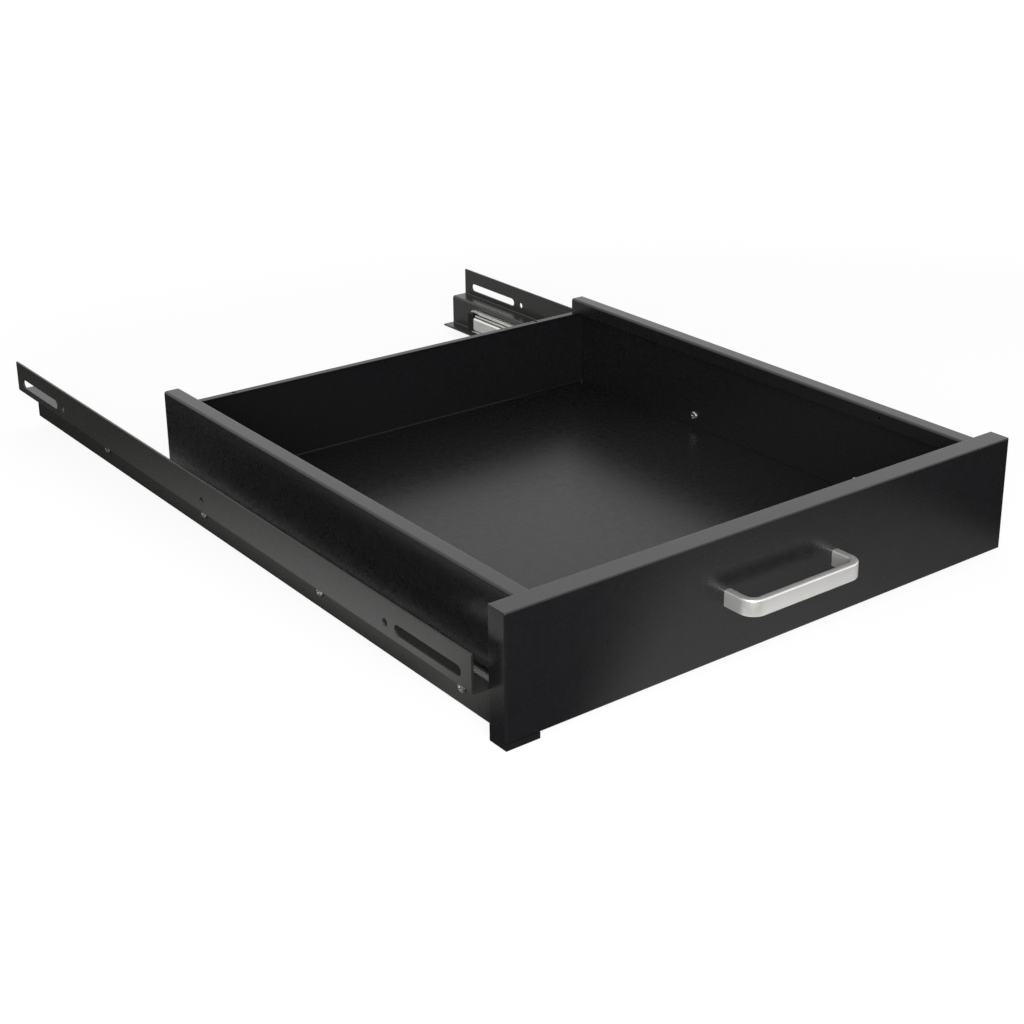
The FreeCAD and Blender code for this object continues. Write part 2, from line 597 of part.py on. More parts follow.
def disconnect_lever():
    """Right lever: thumb piece in front of the pivot, arm and hook behind it."""
    centre = SLIDE_CENTRE_Z
    thumb = LEVER_THUMB_HEIGHT / 2
    tip_y = LEVER_PIVOT_Y - LEVER_THUMB_LENGTH
    end_y = HOOK_FRONT_Y + HOOK_LENGTH
    points = [
        (tip_y, thumb * 0.6),
        (tip_y + thumb, thumb),
        (LEVER_PIVOT_Y, LEVER_BOSS_R * 0.7),
        (end_y, LEVER_ARM_TOP),
        (end_y, HOOK_BOTTOM),
        (HOOK_FRONT_Y, HOOK_BOTTOM),
        (LEVER_PIVOT_Y, -LEVER_BOSS_R * 0.7),
        (tip_y + thumb, -thumb),
        (tip_y, -thumb * 0.6),
    ]
    x, _ = at_slide(LEVER_BACK_U, 0)
    outline = Part.makePolygon([V(x, y, centre + v) for y, v in points + points[:1]])
    lever = Part.Face(outline).extrude(V(LEVER_THICKNESS, 0, 0))
    pivot = V(x, LEVER_PIVOT_Y, centre)
    lever = lever.fuse(rod(pivot, V(1, 0, 0), LEVER_BOSS_R, LEVER_THICKNESS))
    hook = slab(HOOK_REACH_U, LEVER_BACK_U, HOOK_BOTTOM, HOOK_TOP, HOOK_FRONT_Y, end_y)
    lever = lever.fuse(hook).removeSplitter()
    return lever.cut(small_rod(pivot, V(1, 0, 0), RIVET_R + RIVET_CLEARANCE, LEVER_THICKNESS))


def lever_rivet():
    """Right pivot rivet, set in the inner member's web."""
    x_head = WEB_X - LEVER_FACE_U + LEVER_SIDE_GAP
    shank = small_rod(V(WALL_X, LEVER_PIVOT_Y, SLIDE_CENTRE_Z), V(1, 0, 0), RIVET_R, x_head - WALL_X)
    head = small_rod(V(x_head, LEVER_PIVOT_Y, SLIDE_CENTRE_Z), V(1, 0, 0), RIVET_HEAD_R, RIVET_HEAD_HEIGHT)
    return shank.fuse(head).removeSplitter()


def bracket_screws():
    """Screws through each bracket's web into the outer members."""
    length = BRACKET_SHEET + SLIDE_SHEET
    seats = [V(WEB_X + BRACKET_SHEET, y, SLIDE_CENTRE_Z) for y in bracket_screw_ys()]
    return both_sides([pan_head_screw(seat, V(-1, 0, 0), length) for seat in seats])


def wall_screws():
    """Screws through each side wall into the inner members, with their heads in the drawer."""
    length = SHEET + SLIDE_SHEET
    seats = [V(WALL_INNER_X, y, SLIDE_CENTRE_Z) for y in WALL_SCREW_YS]
    return both_sides([pan_head_screw(seat, V(1, 0, 0), length) for seat in seats])


# --- Nodes ----------------------------------------------------------------------------------
def nodes():
    """Every node of the drawer, by name."""
    handed = {
        "bracket": bracket(),
        "outer_member": outer_member(),
        "intermediate_member": intermediate_member(),
        "inner_member": inner_member(),
        "outer_ball_cage": outer_cage(),
        "inner_ball_cage": inner_cage(),
        "outer_balls": balls(OUTER_RACE_U, OUTER_RACE_V),
        "inner_balls": balls(INNER_RACE_U, INNER_RACE_V),
        "rear_bumper": rear_bumper(),
        "disconnect_lever": disconnect_lever(),
        "side_wall": side_wall(),
    }
    made = {}
    for name, shape in handed.items():
        made["right_" + name] = shape
        made["left_" + name] = mirrored(shape)
    made["floor_pan"] = floor_pan()
    made["front_panel"] = front_panel()
    made["handle"] = handle()
    made["handle_screws"] = handle_screws()
    made["panel_screws"] = panel_screws()
    made["bracket_screws"] = bracket_screws()
    made["wall_screws"] = wall_screws()
    made["lever_rivets"] = both_sides([lever_rivet()])
    made["corner_pad"] = corner_pad()
    return made


os.makedirs("parts", exist_ok=True)
for node_name, node_shape in nodes().items():
    node_shape.exportStep("parts/" + node_name + ".step")
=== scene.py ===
"""Looks of the two-unit sliding rack drawer, in metres: finishes, handle, screw heads, balls,
light and camera."""

import json
import math

import bmesh
import bpy
from mathutils import Matrix, Vector


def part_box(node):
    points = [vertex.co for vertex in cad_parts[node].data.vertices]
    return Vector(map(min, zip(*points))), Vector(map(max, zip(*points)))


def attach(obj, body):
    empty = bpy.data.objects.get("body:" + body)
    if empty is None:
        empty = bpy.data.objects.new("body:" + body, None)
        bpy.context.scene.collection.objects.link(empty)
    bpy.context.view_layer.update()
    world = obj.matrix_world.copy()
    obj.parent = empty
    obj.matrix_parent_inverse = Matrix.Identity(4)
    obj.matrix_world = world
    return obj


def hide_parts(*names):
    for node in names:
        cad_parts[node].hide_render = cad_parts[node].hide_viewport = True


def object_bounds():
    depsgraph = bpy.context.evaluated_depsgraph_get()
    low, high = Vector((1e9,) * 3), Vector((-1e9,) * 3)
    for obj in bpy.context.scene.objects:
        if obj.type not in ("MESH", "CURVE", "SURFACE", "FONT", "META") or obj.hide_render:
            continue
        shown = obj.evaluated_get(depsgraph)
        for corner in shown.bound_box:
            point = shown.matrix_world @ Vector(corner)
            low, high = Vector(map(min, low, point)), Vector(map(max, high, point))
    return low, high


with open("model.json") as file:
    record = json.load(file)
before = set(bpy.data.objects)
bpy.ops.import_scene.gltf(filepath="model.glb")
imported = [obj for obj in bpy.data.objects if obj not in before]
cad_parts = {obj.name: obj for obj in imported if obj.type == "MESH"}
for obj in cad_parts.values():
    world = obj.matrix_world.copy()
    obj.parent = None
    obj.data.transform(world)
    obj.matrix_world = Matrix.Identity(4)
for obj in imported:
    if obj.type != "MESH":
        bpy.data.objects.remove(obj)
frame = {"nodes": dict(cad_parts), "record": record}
cad_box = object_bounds()

MM = 0.001
X_AXIS, Y_AXIS = 0, 1
CORNERS = ((-1, -1), (1, -1), (1, 1), (-1, 1))     # signs of a rectangle's corners, in order


# --- Camera ---------------------------------------------------------------------------------
CAMERA_PLACE = (-0.7808, -0.7727, 0.5610)
CAMERA_DOWN = 20.65         # degrees under the horizon
CAMERA_TURN = -38.13        # degrees about Z, from looking along +Y
CAMERA_LENS = 62.76         # millimetres, as is the sensor
CAMERA_SENSOR = 36.0
CAMERA_SHIFT = (-0.0469, -0.0898)
CAMERA_CLIP = (0.05, 40.0)


def make_camera():
    """Camera to the front left and above, at the height that shows the drawer's floor."""
    data = bpy.data.cameras.new("camera")
    data.sensor_width = CAMERA_SENSOR
    data.lens = CAMERA_LENS
    data.shift_x, data.shift_y = CAMERA_SHIFT
    data.clip_start, data.clip_end = CAMERA_CLIP
    camera = bpy.data.objects.new("camera", data)
    camera.location = CAMERA_PLACE
    camera.rotation_euler = (math.radians(90 - CAMERA_DOWN), 0, math.radians(CAMERA_TURN))
    bpy.context.scene.collection.objects.link(camera)
    bpy.context.scene.camera = camera


# --- Finishes -------------------------------------------------------------------------------
NOISE_LOW, NOISE_HIGH = 0.3, 0.7    # most of a noise texture's values lie between these
SHEET_EDGE_R = 0.5 * MM
PANEL_EDGE_R = 1.2 * MM
EDGE_SAMPLES = 6
FULL_GLOSS = 0.5            # the shader's plain specular level
PAN_GLOSS = 0.26
COOL_BLACK = (0.0095, 0.0095, 0.0107), (0.0116, 0.0115, 0.0128)
WARM_BLACK = (0.0225, 0.0212, 0.0196), (0.0265, 0.0250, 0.0232)


class Graph:
    """A material's node tree, with short calls for the nodes used here."""

    def __init__(self, name):
        self.material = bpy.data.materials.new(name)
        self.material.use_nodes = True
        self.nodes = self.material.node_tree.nodes
        self.links = self.material.node_tree.links
        self.shader = self.nodes["Principled BSDF"]

    def place(self, stretch=(1, 1, 1)):
        """Object coordinates in metres, stretched."""
        coordinates = self.nodes.new("ShaderNodeTexCoord")
        mapping = self.nodes.new("ShaderNodeMapping")
        mapping.inputs["Scale"].default_value = stretch
        self.links.new(coordinates.outputs["Object"], mapping.inputs["Vector"])
        return mapping.outputs["Vector"]

    def noise(self, scale, detail=2.0, roughness=0.5, stretch=(1, 1, 1)):
        """Noise with about this many grains to the metre."""
        node = self.nodes.new("ShaderNodeTexNoise")
        node.inputs["Scale"].default_value = scale
        node.inputs["Detail"].default_value = detail
        node.inputs["Roughness"].default_value = roughness
        self.links.new(self.place(stretch), node.inputs["Vector"])
        return node.outputs["Fac"]

    def remap(self, noise, to_low, to_high):
        """A noise's usual values, stretched between two others."""
        node = self.nodes.new("ShaderNodeMapRange")
        node.inputs["From Min"].default_value = NOISE_LOW
        node.inputs["From Max"].default_value = NOISE_HIGH
        node.inputs["To Min"].default_value = to_low
        node.inputs["To Max"].default_value = to_high
        self.links.new(noise, node.inputs["Value"])
        return node.outputs["Result"]

    def blend(self, value, first, second):
        """Colour between two colours by a value from 0 to 1."""
        node = self.nodes.new("ShaderNodeMix")
        node.data_type = "RGBA"
        node.inputs["A"].default_value = (*first, 1)
        node.inputs["B"].default_value = (*second, 1)
        self.links.new(value, node.inputs["Factor"])
        return node.outputs["Result"]

    def bump(self, value, strength, distance, edge_radius=0.0):
        """Fine relief, over edges softened to a radius if one is given."""
        node = self.nodes.new("ShaderNodeBump")
        node.inputs["Strength"].default_value = strength
        node.inputs["Distance"].default_value = distance
        self.links.new(value, node.inputs["Height"])
        if edge_radius:
            edge = self.nodes.new("ShaderNodeBevel")
            edge.samples = EDGE_SAMPLES
            edge.inputs["Radius"].default_value = edge_radius
            self.links.new(edge.outputs["Normal"], node.inputs["Normal"])
        self.links.new(node.outputs["Normal"], self.shader.inputs["Normal"])

    def set(self, **values):
        """Constant values of the shader's sockets, with _ for a space in the name."""
        for name, value in values.items():
            self.shader.inputs[name.replace("_", " ")].default_value = value

    def drive(self, name, output):
        """Feeds a shader socket from another node."""
        self.links.new(output, self.shader.inputs[name])


def powder_coat(name, edge_radius, gloss, tones=COOL_BLACK):
    """Satin black powder coat: fine orange peel, faint mottling of the gloss, soft edges."""
    g = Graph(name)
    g.set(Metallic=0.0, IOR=1.52, Specular_IOR_Level=gloss)
    mottle = g.noise(55.0, 3.0)
    g.drive("Base Color", g.blend(mottle, *tones))
    g.drive("Roughness", g.remap(g.noise(140.0, 4.0), 0.25, 0.30))
    g.bump(g.noise(1900.0, 2.0, 0.6), 0.08, 0.05 * MM, edge_radius)
    return g.material


def zinc_plate():
    """Bright zinc on cold-rolled strip: fine lines along the slide and cloudy patches."""
    g = Graph("zinc_plate")
    g.set(Metallic=1.0)
    clouds = g.noise(90.0, 3.0)
    g.drive("Base Color", g.blend(clouds, (0.74, 0.735, 0.71), (0.86, 0.855, 0.83)))
    g.drive("Roughness", g.remap(g.noise(260.0, 3.0, 0.5, (1, 0.04, 1)), 0.20, 0.34))
    g.bump(g.noise(2600.0, 2.0, 0.5, (1, 0.02, 1)), 0.12, 0.03 * MM)
    return g.material


def cage_steel():
    """Plain pressed strip."""
    g = Graph("cage_steel")
    g.set(Metallic=1.0)
    g.drive("Base Color", g.blend(g.noise(120.0), (0.40, 0.40, 0.39), (0.52, 0.52, 0.50)))
    g.drive("Roughness", g.remap(g.noise(300.0), 0.30, 0.44))
    return g.material


def bearing_steel():
    """Polished, lightly greased balls."""
    g = Graph("bearing_steel")
    g.set(Metallic=1.0)
    g.drive("Base Color", g.blend(g.noise(800.0), (0.62, 0.62, 0.62), (0.74, 0.74, 0.73)))
    g.drive("Roughness", g.remap(g.noise(900.0), 0.08, 0.18))
    return g.material


def fastener_zinc():
    """Zinc screws, a darker zinc than the slides'."""
    g = Graph("fastener_zinc")
    g.set(Metallic=1.0)
    g.drive("Base Color", g.blend(g.noise(500.0), (0.36, 0.355, 0.34), (0.50, 0.49, 0.47)))
    g.drive("Roughness", g.remap(g.noise(700.0), 0.24, 0.36))
    return g.material


def satin_nickel():
    """Satin nickel plate with fine grain along the bar."""
    g = Graph("satin_nickel")
    g.set(Metallic=0.66)
    g.drive("Base Color", g.blend(g.noise(60.0), (0.90, 0.89, 0.865), (0.96, 0.95, 0.925)))
    g.drive("Roughness", g.remap(g.noise(900.0, 3.0, 0.5, (0.12, 1, 1)), 0.30, 0.38))
    g.bump(g.noise(4200.0, 2.0, 0.5, (0.06, 1, 1)), 0.10, 0.02 * MM)
    return g.material


def black_rubber():
    """Matt rubber with a fine grain."""
    g = Graph("black_rubber")
    g.set(Specular_IOR_Level=0.25)
    g.drive("Base Color", g.blend(g.noise(300.0), (0.003, 0.003, 0.003), (0.006, 0.006, 0.006)))
    g.drive("Roughness", g.remap(g.noise(500.0), 0.62, 0.78))
    g.bump(g.noise(2400.0), 0.3, 0.08 * MM)
    return g.material


def lever_plastic():
    """Moulded black plastic with a spark-eroded texture."""
    g = Graph("lever_plastic")
    g.drive("Base Color", g.blend(g.noise(200.0), (0.012, 0.012, 0.013), (0.018, 0.018, 0.019)))
    g.drive("Roughness", g.remap(g.noise(600.0), 0.42, 0.55))
    g.bump(g.noise(3000.0), 0.25, 0.06 * MM)
    return g.material


def dress_frame(materials, special):
    """Gives every CAD node its own special material, or else its slot's."""
    for entry in frame["record"]["subparts"]:
        node = frame["nodes"][entry["node"]]
        node.data.materials.clear()
        material = special.get(entry["node"], materials[entry["material_slot"]])
        node.data.materials.append(material)


# --- Mesh helpers ---------------------------------------------------------------------------
SHARP_ANGLE = 38            # degrees
WELD_DISTANCE = 0.001 * MM
SORT_DIGITS = 5             # of a place in metres


def add_piece(name, mesh_edit, body, material, replaced=()):
    """Object made from a filled bmesh, riding on a body."""
    mesh = bpy.data.meshes.new(name)
    mesh_edit.normal_update()
    mesh_edit.to_mesh(mesh)
    mesh_edit.free()
    piece = bpy.data.objects.new(name, mesh)
    bpy.context.scene.collection.objects.link(piece)
    mesh.materials.append(material)
    for polygon in mesh.polygons:
        polygon.use_smooth = True
    mesh.set_sharp_from_angle(angle=math.radians(SHARP_ANGLE))
    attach(piece, body)
    if replaced:
        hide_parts(*replaced)
    return piece


# --- Handle ---------------------------------------------------------------------------------
HANDLE_INSIDE_R = 6.2 * MM
HANDLE_THICK = 6.0 * MM
HANDLE_EDGE_R = 1.1 * MM
BEND_STEPS = 14
EDGE_STEPS = 5


def handle_path(x, front_y, back_y):
    """Mid-line of the bow as (point, outward normal), from one foot round to the other."""
    radius = HANDLE_INSIDE_R + HANDLE_THICK / 2
    stations = [(Vector((-x, back_y)), Vector((-1, 0)))]
    for side in (-1, 1):
        centre = Vector((side * (x - radius), front_y + radius))
        for k in range(BEND_STEPS + 1):
            share = k / BEND_STEPS if side < 0 else 1 - k / BEND_STEPS
            angle = share * math.pi / 2
            normal = Vector((side * math.cos(angle), -math.sin(angle)))
            stations.append((centre + normal * radius, normal))
    stations.append((Vector((x, back_y)), Vector((1, 0))))
    return stations


def rounded_section(half_width, half_height, radius):
    """Rectangle with rounded corners, as (across, up) points."""
    points = []
    corners = ((1, 1, 0), (-1, 1, 90), (-1, -1, 180), (1, -1, 270))
    for across, up, start in corners:
        for k in range(EDGE_STEPS + 1):
            angle = math.radians(start + 90 * k / EDGE_STEPS)
            points.append((
                across * (half_width - radius) + radius * math.cos(angle),
                up * (half_height - radius) + radius * math.sin(angle),
            ))
    return points


def make_handle(material):
    """Bow handle in the place of the plain one: its section swept along its path."""
    low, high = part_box("handle")
    middle_z = (low.z + high.z) / 2
    stations = handle_path(high.x - HANDLE_THICK / 2, low.y + HANDLE_THICK / 2, high.y)
    section = rounded_section(HANDLE_THICK / 2, (high.z - low.z) / 2, HANDLE_EDGE_R)
    mesh = bmesh.new()
    rings = []
    for point, normal in stations:
        ring = []
        for across, up in section:
            spot = point + normal * across
            ring.append(mesh.verts.new((spot.x, spot.y, middle_z + up)))
        rings.append(ring)
    count = len(section)
    for ring, following in zip(rings, rings[1:]):
        for k in range(count):
            j = (k + 1) % count
            mesh.faces.new((ring[k], ring[j], following[j], following[k]))
    mesh.faces.new(rings[0])
    mesh.faces.new(list(reversed(rings[-1])))
    bmesh.ops.recalc_face_normals(mesh, faces=mesh.faces)
    return add_piece("bow_handle", mesh, "drawer", material, ("handle",))


# --- Screw heads and balls ------------------------------------------------------------------
HEAD_HEIGHT = 2.0 * MM
HEAD_RIM = 0.7175 * MM      # height of the head's straight side
CROWN_INSET = 0.55          # share of the head's radius that the crown draws in
CROWN_TOP = 0.96            # share of the head's height where the crown's curve ends
SHANK_R = 2.0 * MM
TIP_R = 0.8 * SHANK_R
TIP_START = 0.85            # share of the shank's length where its chamfer starts
RECESS_ARM = 2.1 * MM       # from the head's centre
RECESS_WIDTH = 0.95 * MM
RECESS_DEPTH = 1.1 * MM
RECESS_FLARE = 1.5          # share of the arm's length at the cutter's top, above the head
RECESS_TAPER = 0.62         # and at the recess's floor
RECESS_NARROWING = 0.25     # how much the arm's width follows those shares
SCREW_TURN = 0.9            # radians between one screw's recess and the next's
HEAD_SIDES = 40
HEAD_STEPS = 8
BALL_ROUNDS = 3


def middle(points):
    """Mean place, rounded so that it sorts the same each time."""
    mean = sum(points, Vector()) / len(points)
    return tuple(round(value, SORT_DIGITS) for value in mean)


def islands(node):
    """Vertex positions of each separate solid in a CAD node."""
    edit = bmesh.new()
    edit.from_mesh(frame["nodes"][node].data)
    bmesh.ops.remove_doubles(edit, verts=edit.verts, dist=WELD_DISTANCE)
    waiting = set(edit.verts)
    groups = []
    while waiting:
        reached = [waiting.pop()]
        group = []
        while reached:
            vertex = reached.pop()
            group.append(vertex.co.copy())
            for edge in vertex.link_edges:
                other = edge.other_vert(vertex)
                if other in waiting:
                    waiting.remove(other)
                    reached.append(other)
        groups.append(group)
    edit.free()
    return sorted(groups, key=middle)


def extent(points):
    """Lowest and highest corner of the points' box."""
    low = Vector([min(p[k] for p in points) for k in range(3)])
    high = Vector([max(p[k] for p in points) for k in range(3)])
    return low, high


def revolve(edit, profile, sides):
    """Closed solid turned about Z from (radius, z) points that start and end on the axis."""
    rings = []
    for radius, z in profile[1:-1]:
        rings.append([
            edit.verts.new((radius * math.cos(a), radius * math.sin(a), z))
            for a in (2 * math.pi * k / sides for k in range(sides))
        ])
    first = edit.verts.new((0, 0, profile[0][1]))
    last = edit.verts.new((0, 0, profile[-1][1]))
    for k in range(sides):
        j = (k + 1) % sides
        edit.faces.new((first, rings[0][j], rings[0][k]))
        edit.faces.new((last, rings[-1][k], rings[-1][j]))
        for lower, upper in zip(rings, rings[1:]):
            edit.faces.new((lower[k], lower[j], upper[j], upper[k]))


def screw_profile(head_radius, shank_length):
    """Pan head on its shank: seat at z 0, shank below it, crowned head above."""
    profile = [
        (0, -shank_length),
        (TIP_R, -shank_length),
        (SHANK_R, -shank_length * TIP_START),
        (SHANK_R, 0),
        (head_radius, 0),
        (head_radius, HEAD_RIM),
    ]
    for k in range(1, HEAD_STEPS + 1):
        angle = math.radians(90) * k / HEAD_STEPS
        radius = head_radius * (1 - CROWN_INSET * (1 - math.cos(angle)))
        height = HEAD_RIM + (HEAD_HEIGHT * CROWN_TOP - HEAD_RIM) * math.sin(angle)
        profile.append((radius, height))
    profile.append((0, HEAD_HEIGHT))
    return profile


def cross_recess(edit):
    """Tapered cross that cuts the driver's recess."""
    levels = (
        (HEAD_HEIGHT + RECESS_DEPTH, RECESS_FLARE),
        (HEAD_HEIGHT - RECESS_DEPTH, RECESS_TAPER),
    )
    for along_x in (True, False):
        rings = []
        for z, share in levels:
            arm = RECESS_ARM * share
            half = RECESS_WIDTH / 2 * (1 - RECESS_NARROWING * (1 - share))
            x, y = (arm, half) if along_x else (half, arm)
            rings.append([edit.verts.new((sx * x, sy * y, z)) for sx, sy in CORNERS])
        top, bottom = rings
        edit.faces.new(top)
        edit.faces.new(list(reversed(bottom)))
        for k in range(4):
            j = (k + 1) % 4
            edit.faces.new((bottom[k], bottom[j], top[j], top[k]))


def mesh_from(name, fill):
    """Mesh that a function fills."""
    edit = bmesh.new()
    fill(edit)
    bmesh.ops.recalc_face_normals(edit, faces=edit.faces)
    mesh = bpy.data.meshes.new(name)
    edit.to_mesh(mesh)
    edit.free()
    return mesh


def screw_pattern(head_radius, shank_length):
    """One screw as a mesh along Z, with its cross recess cut out."""
    profile = screw_profile(head_radius, shank_length)
    body = mesh_from("screw_body", lambda edit: revolve(edit, profile, HEAD_SIDES))
    cutter = mesh_from("screw_recess", cross_recess)
    objects = [bpy.data.objects.new(mesh.name, mesh) for mesh in (body, cutter)]
    for item in objects:
        bpy.context.scene.collection.objects.link(item)
    cut = objects[0].modifiers.new("recess", "BOOLEAN")
    cut.operation = "DIFFERENCE"
    cut.solver = "EXACT"
    cut.use_self = True
    cut.object = objects[1]
    bpy.context.view_layer.update()
    evaluated = objects[0].evaluated_get(bpy.context.evaluated_depsgraph_get())
    result = bpy.data.meshes.new_from_object(evaluated)
    for item in objects:
        bpy.data.objects.remove(item)
    return result


def make_screws(node, body, axis, heads_out, material):
    """Detailed screws in the places of a node's plain ones. Heads point along the axis: away
    from the part's middle plane if heads_out is 1, towards it if -1, and to +axis if 0."""
    edit = bmesh.new()
    for number, points in enumerate(islands(node)):
        low, high = extent(points)
        centre = (low + high) / 2
        across = (axis + 1) % 3
        head_radius = (high[across] - low[across]) / 2
        way = 1 if heads_out == 0 else heads_out * (1 if centre[axis] > 0 else -1)
        end = high[axis] if way > 0 else low[axis]
        pattern = screw_pattern(head_radius, high[axis] - low[axis] - HEAD_HEIGHT)
        seat = centre.copy()
        seat[axis] = end - way * HEAD_HEIGHT
        direction = Vector([way if k == axis else 0 for k in range(3)])
        aim = direction.to_track_quat("Z", "Y").to_matrix().to_4x4()
        spin = Matrix.Rotation(SCREW_TURN * number, 4, "Z")
        pattern.transform(Matrix.Translation(seat) @ aim @ spin)
        edit.from_mesh(pattern)
        bpy.data.meshes.remove(pattern)
    return add_piece(node + "_detailed", edit, body, material, (node,))


def make_balls(node, body, material):
    """Smooth balls in the places of a node's faceted ones."""
    edit = bmesh.new()
    for points in islands(node):
        low, high = extent(points)
        radius = min(high - low) / 2
        place = Matrix.Translation((low + high) / 2)
        bmesh.ops.create_icosphere(edit, subdivisions=BALL_ROUNDS, radius=radius, matrix=place)
    return add_piece(node + "_round", edit, body, material, (node,))


# --- Light, floor and background ------------------------------------------------------------
WORLD_FILL = 0.20           # strength of the white surround for diffuse light
FLOOR_REACH = 6.0
FLOOR_GAP = 0.4 * MM
FLOOR_TONE = (0.88, 0.88, 0.88, 1)
FLOOR_ROUGHNESS = 0.9
FLOOR_WHITE = 1.26          # strength of the plain white that the camera sees
FLOOR_WHITE_SHARE = 0.70    # the rest is the floor's own shading, with the object's shadow

# A ramp is the places where it starts and ends, then its values there where they aren't 0 and 1.
WHITE_SHARE_RAMP = (0.7, 3.0, FLOOR_WHITE_SHARE, 1.0)   # over squared distance from the origin

# Lit patches of floor that only gloss shows: ramps over x and y in metres.
FRONT_SLANT = (0.625, 0.781)        # direction across the front patch's left edge
FRONT_LEFT_RAMP = (-0.139, -0.086)  # along that direction
FRONT_RIGHT_RAMP = (0.285, 0.225)
FRONT_SIDE_RAMP = (0.260, -0.060, 0.27, 0.57)
FRONT_NEAR_RAMP = (-0.180, -0.090, 0.55, 1.0)
FRONT_BACK_RAMP = (0.120, 0.0)
LEFT_EDGE_RAMP = (-0.225, -0.285)
LEFT_SIDE_RAMP = (-0.37, -0.27, 0.10, 1.0)
LEFT_BACK_RAMP = (0.66, 0.08, 0.08, 1.0)
LEFT_FRONT_RAMP = (0.0, 0.13)
BACK_NEAR_RAMP = (0.50, 0.62)
BACK_LEFT_RAMP = (-0.15, 0.05)
BACK_WHITE = 0.40
UNLIT_WHITE = 0.03

SOFTBOXES = {               # offset from the part's centre, side in metres, power in watts
    "top_softbox": ((0.3, 0.6, 1.6), 1.4, 3.0),
    "front_softbox": ((-1.15, -1.70, 0.62), 1.1, 33.0),
}


def make_world():
    """White background to the eye and to gloss, and a dimmer one for the diffuse light."""
    world = bpy.data.worlds.new("surround")
    world.use_nodes = True
    bpy.context.scene.world = world
    nodes, links = world.node_tree.nodes, world.node_tree.links
    background = nodes["Background"]
    background.inputs["Color"].default_value = (1, 1, 1, 1)
    rays = nodes.new("ShaderNodeLightPath")
    seen = rays.outputs["Is Camera Ray"]
    for kind in ("Is Glossy Ray", "Is Transmission Ray"):
        either = nodes.new("ShaderNodeMath")
        either.operation = "MAXIMUM"
        links.new(seen, either.inputs[0])
        links.new(rays.outputs[kind], either.inputs[1])
        seen = either.outputs[0]
    strength = nodes.new("ShaderNodeMapRange")
    strength.inputs["To Min"].default_value = WORLD_FILL
    strength.inputs["To Max"].default_value = 1.0
    links.new(seen, strength.inputs["Value"])
    links.new(strength.outputs["Result"], background.inputs["Strength"])


class FloorLight:
    """Brightness of the floor by place, built from node arithmetic on x and y in metres."""

    def __init__(self, material):
        self.nodes = material.node_tree.nodes
        self.links = material.node_tree.links
        place = self.nodes.new("ShaderNodeTexCoord")
        split = self.nodes.new("ShaderNodeSeparateXYZ")
        self.links.new(place.outputs["Object"], split.inputs[0])
        self.x, self.y = split.outputs["X"], split.outputs["Y"]

    def math(self, operation, first, second):
        """One sum or product of two values, each a number or another node's output."""
        node = self.nodes.new("ShaderNodeMath")
        node.operation = operation
        for socket, value in zip(node.inputs, (first, second)):
            if isinstance(value, (int, float)):
                socket.default_value = value
            else:
                self.links.new(value, socket)
        return node.outputs[0]

    def ramp(self, value, start, end, low=0.0, high=1.0):
        """Smooth step from low at start to high at end."""
        node = self.nodes.new("ShaderNodeMapRange")
        node.interpolation_type = "SMOOTHSTEP"
        node.inputs["From Min"].default_value = min(start, end)
        node.inputs["From Max"].default_value = max(start, end)
        node.inputs["To Min"].default_value = low if start < end else high
        node.inputs["To Max"].default_value = high if start < end else low
        self.links.new(value, node.inputs["Value"])
        return node.outputs["Result"]

    def product(self, *values):
        """All the values multiplied."""
        total = values[0]
        for value in values[1:]:
            total = self.math("MULTIPLY", total, value)
        return total

    def front_pool(self):
        """Lit floor before the panel, cut off at an angle by the shadow of its left end."""
        parts = [self.math("MULTIPLY", *pair) for pair in zip((self.x, self.y), FRONT_SLANT)]
        return self.product(
            self.ramp(self.math("ADD", *parts), *FRONT_LEFT_RAMP),
            self.ramp(self.x, *FRONT_RIGHT_RAMP),
            self.ramp(self.x, *FRONT_SIDE_RAMP),
            self.ramp(self.y, *FRONT_NEAR_RAMP),
            self.ramp(self.y, *FRONT_BACK_RAMP),
        )

    def left_pool(self):
        """Lit floor to the left of the left bracket, fading towards the back."""
        return self.product(
            self.ramp(self.x, *LEFT_EDGE_RAMP),
            self.ramp(self.x, *LEFT_SIDE_RAMP),
            self.ramp(self.y, *LEFT_BACK_RAMP),
            self.ramp(self.y, *LEFT_FRONT_RAMP),
        )

    def back_pool(self):
        """Lit floor behind the drawer."""
        return self.product(
            self.ramp(self.y, *BACK_NEAR_RAMP),
            self.ramp(self.x, *BACK_LEFT_RAMP),
            BACK_WHITE,
        )

    def white_share(self):
        """Share of plain white that the camera sees: less near the part, all of it far away."""
        squares = [self.math("MULTIPLY", axis, axis) for axis in (self.x, self.y)]
        return self.ramp(self.math("ADD", *squares), *WHITE_SHARE_RAMP)

    def brightness(self):
        """The three lit patches on an almost unlit floor."""
        total = UNLIT_WHITE
        for pool in (self.front_pool(), self.left_pool(), self.back_pool()):
            total = self.math("ADD", pool, total)
        return total


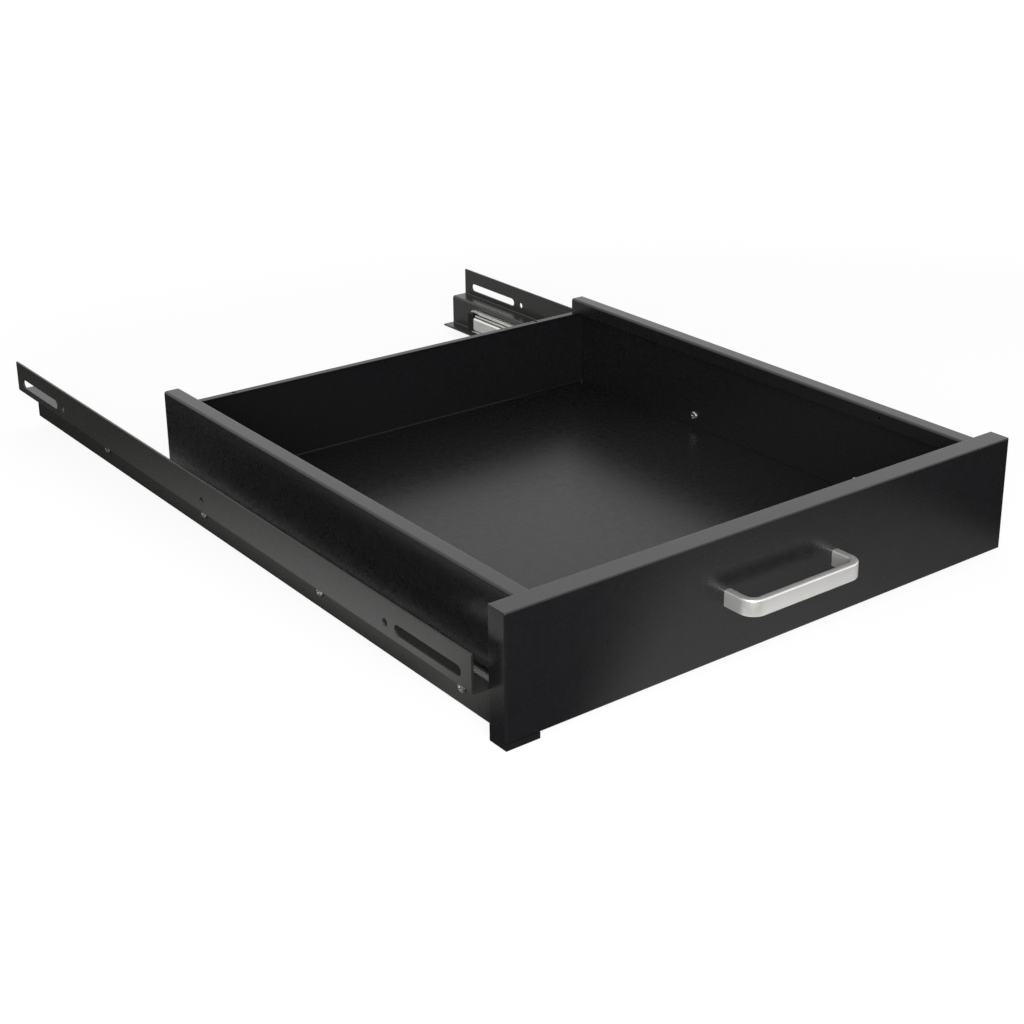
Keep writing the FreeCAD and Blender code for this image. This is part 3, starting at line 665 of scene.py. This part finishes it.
def make_floor():
    """Pale floor just under the part: mostly white to the camera, lit in patches to gloss."""
    z = cad_box[0][2] - FLOOR_GAP
    data = bpy.data.meshes.new("floor")
    corners = [(sx * FLOOR_REACH, sy * FLOOR_REACH, z) for sx, sy in CORNERS]
    data.from_pydata(corners, [], [(0, 1, 2, 3)])
    floor = bpy.data.objects.new("floor", data)
    bpy.context.scene.collection.objects.link(floor)
    material = bpy.data.materials.new("floor")
    material.use_nodes = True
    nodes, links = material.node_tree.nodes, material.node_tree.links
    diffuse = nodes["Principled BSDF"]
    diffuse.inputs["Base Color"].default_value = FLOOR_TONE
    diffuse.inputs["Roughness"].default_value = FLOOR_ROUGHNESS
    diffuse.inputs["Specular IOR Level"].default_value = 0.0
    rays = nodes.new("ShaderNodeLightPath")
    white = nodes.new("ShaderNodeEmission")
    white.inputs["Strength"].default_value = FLOOR_WHITE
    for_camera = nodes.new("ShaderNodeMixShader")
    floor_light = FloorLight(material)
    share = floor_light.product(rays.outputs["Is Camera Ray"], floor_light.white_share())
    links.new(share, for_camera.inputs["Fac"])
    links.new(diffuse.outputs["BSDF"], for_camera.inputs[1])
    links.new(white.outputs["Emission"], for_camera.inputs[2])
    pools = nodes.new("ShaderNodeEmission")
    links.new(floor_light.brightness(), pools.inputs["Strength"])
    for_gloss = nodes.new("ShaderNodeMixShader")
    links.new(rays.outputs["Is Glossy Ray"], for_gloss.inputs["Fac"])
    links.new(for_camera.outputs["Shader"], for_gloss.inputs[1])
    links.new(pools.outputs["Emission"], for_gloss.inputs[2])
    links.new(for_gloss.outputs["Shader"], nodes["Material Output"].inputs["Surface"])
    data.materials.append(material)


def add_light(name, location, target, size, power):
    """Square soft light that faces a target."""
    data = bpy.data.lights.new(name, "AREA")
    data.shape = "SQUARE"
    data.size = size
    data.energy = power
    light = bpy.data.objects.new(name, data)
    light.location = location
    direction = Vector(target) - Vector(location)
    light.rotation_euler = direction.to_track_quat("-Z", "Y").to_euler()
    bpy.context.scene.collection.objects.link(light)


def make_lights():
    """Both softboxes, aimed at the middle of the part."""
    low, high = (Vector(corner) for corner in cad_box)
    centre = (low + high) / 2
    for name, (offset, size, power) in SOFTBOXES.items():
        add_light(name, centre + Vector(offset), centre, size, power)


# --- Scene ----------------------------------------------------------------------------------
make_camera()
bpy.context.scene.view_settings.view_transform = "Standard"
MATERIALS = {
    "black_powder_coat": powder_coat("black_powder_coat", SHEET_EDGE_R, FULL_GLOSS),
    "zinc_plate": zinc_plate(),
    "cage_steel": cage_steel(),
    "bearing_steel": bearing_steel(),
    "fastener_zinc": fastener_zinc(),
    "satin_nickel": satin_nickel(),
    "black_rubber": black_rubber(),
    "lever_plastic": lever_plastic(),
}
bracket_coat = powder_coat("bracket_coat", SHEET_EDGE_R, FULL_GLOSS, WARM_BLACK)
SPECIAL = {
    "front_panel": powder_coat("front_panel_coat", PANEL_EDGE_R, FULL_GLOSS),
    "floor_pan": powder_coat("floor_pan_coat", SHEET_EDGE_R, PAN_GLOSS),
    "left_bracket": bracket_coat,
    "right_bracket": bracket_coat,
}
dress_frame(MATERIALS, SPECIAL)
make_handle(MATERIALS["satin_nickel"])
make_screws("bracket_screws", "rack_rails", X_AXIS, 1, MATERIALS["fastener_zinc"])
make_screws("wall_screws", "drawer", X_AXIS, -1, MATERIALS["fastener_zinc"])
make_screws("panel_screws", "drawer", Y_AXIS, 0, MATERIALS["fastener_zinc"])
for side in ("left", "right"):
    for cage in ("outer", "inner"):
        make_balls(f"{side}_{cage}_balls", f"{cage}_cages", MATERIALS["bearing_steel"])
make_world()
make_floor()
make_lights()
